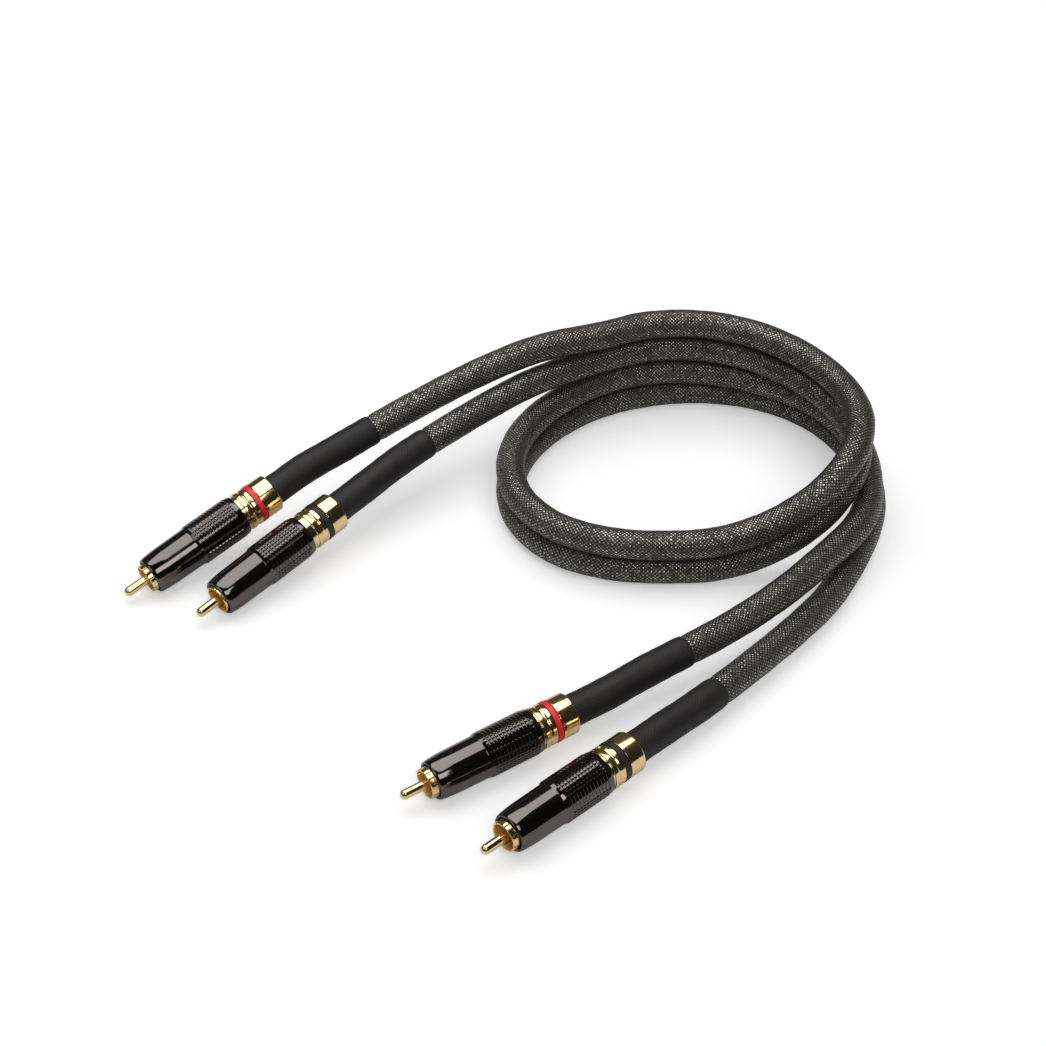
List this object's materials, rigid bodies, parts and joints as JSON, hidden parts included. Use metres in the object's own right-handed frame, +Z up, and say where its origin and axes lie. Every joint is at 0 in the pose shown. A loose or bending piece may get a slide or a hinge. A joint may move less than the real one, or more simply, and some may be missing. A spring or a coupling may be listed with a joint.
{
  "type": "audio cable",
  "caption": "Coiled stereo audio interconnect: thick dark braided leads with locking gold and black-chrome phono plugs, red and black bands.",
  "frame": {"origin": "centre of the layout's box, on the table", "axes": "+X to the right and +Y away as the cable lies, +Z up from the table"},
  "size_m": [0.259, 0.2348, 0.0413],
  "materials": {
    "gold": "polished",
    "black_chrome": "polished black chrome",
    "insulator": "matte",
    "sleeve": "matte heat-shrink",
    "braid": "woven braid",
    "red_band": "satin",
    "black_band": "satin",
    "clamp": "satin",
    "wire": "copper strand"
  },
  "bodies": {
    "cable": {"red_a_center_pin": "gold", "red_a_insulator": "insulator", "red_a_contact_body": "gold", "red_a_rear_shell": "gold", "red_a_color_band": "red_band", "red_a_cable_clamp": "clamp", "red_a_signal_wire": "wire", "red_a_ground_wire": "wire", "red_a_heat_shrink": "sleeve", "red_b_center_pin": "gold", "red_b_insulator": "insulator", "red_b_contact_body": "gold", "red_b_rear_shell": "gold", "red_b_color_band": "red_band", "red_b_cable_clamp": "clamp", "red_b_signal_wire": "wire", "red_b_ground_wire": "wire", "red_b_heat_shrink": "sleeve", "black_a_center_pin": "gold", "black_a_insulator": "insulator", "black_a_contact_body": "gold", "black_a_rear_shell": "gold", "black_a_color_band": "black_band", "black_a_cable_clamp": "clamp", "black_a_signal_wire": "wire", "black_a_ground_wire": "wire", "black_a_heat_shrink": "sleeve", "black_b_center_pin": "gold", "black_b_insulator": "insulator", "black_b_contact_body": "gold", "black_b_rear_shell": "gold", "black_b_color_band": "black_band", "black_b_cable_clamp": "clamp", "black_b_signal_wire": "wire", "black_b_ground_wire": "wire", "black_b_heat_shrink": "sleeve", "red_lead": "braid", "black_lead": "braid"},
    "red_a_sliding_barrel": {"red_a_barrel": "black_chrome"},
    "red_b_sliding_barrel": {"red_b_barrel": "black_chrome"},
    "black_a_sliding_barrel": {"black_a_barrel": "black_chrome"},
    "black_b_sliding_barrel": {"black_b_barrel": "black_chrome"}
  },
  "joints": [
    {"name": "red_a_barrel_slide", "type": "slide", "parent": "cable", "child": "red_a_sliding_barrel", "axis": [0.7587, 0.6144, 0.2164], "range_m": [-0.001, 0.001]},
    {"name": "red_b_barrel_slide", "type": "slide", "parent": "cable", "child": "red_b_sliding_barrel", "axis": [0.8343, 0.5501, 0.0349], "range_m": [-0.00155, 0.00045]},
    {"name": "black_a_barrel_slide", "type": "slide", "parent": "cable", "child": "black_a_sliding_barrel", "axis": [0.7012, 0.6963, 0.153], "range_m": [0, 0.002]},
    {"name": "black_b_barrel_slide", "type": "slide", "parent": "cable", "child": "black_b_sliding_barrel", "axis": [0.7385, 0.6743, 0], "range_m": [-0.00135, 0.00065]}
  ]
}
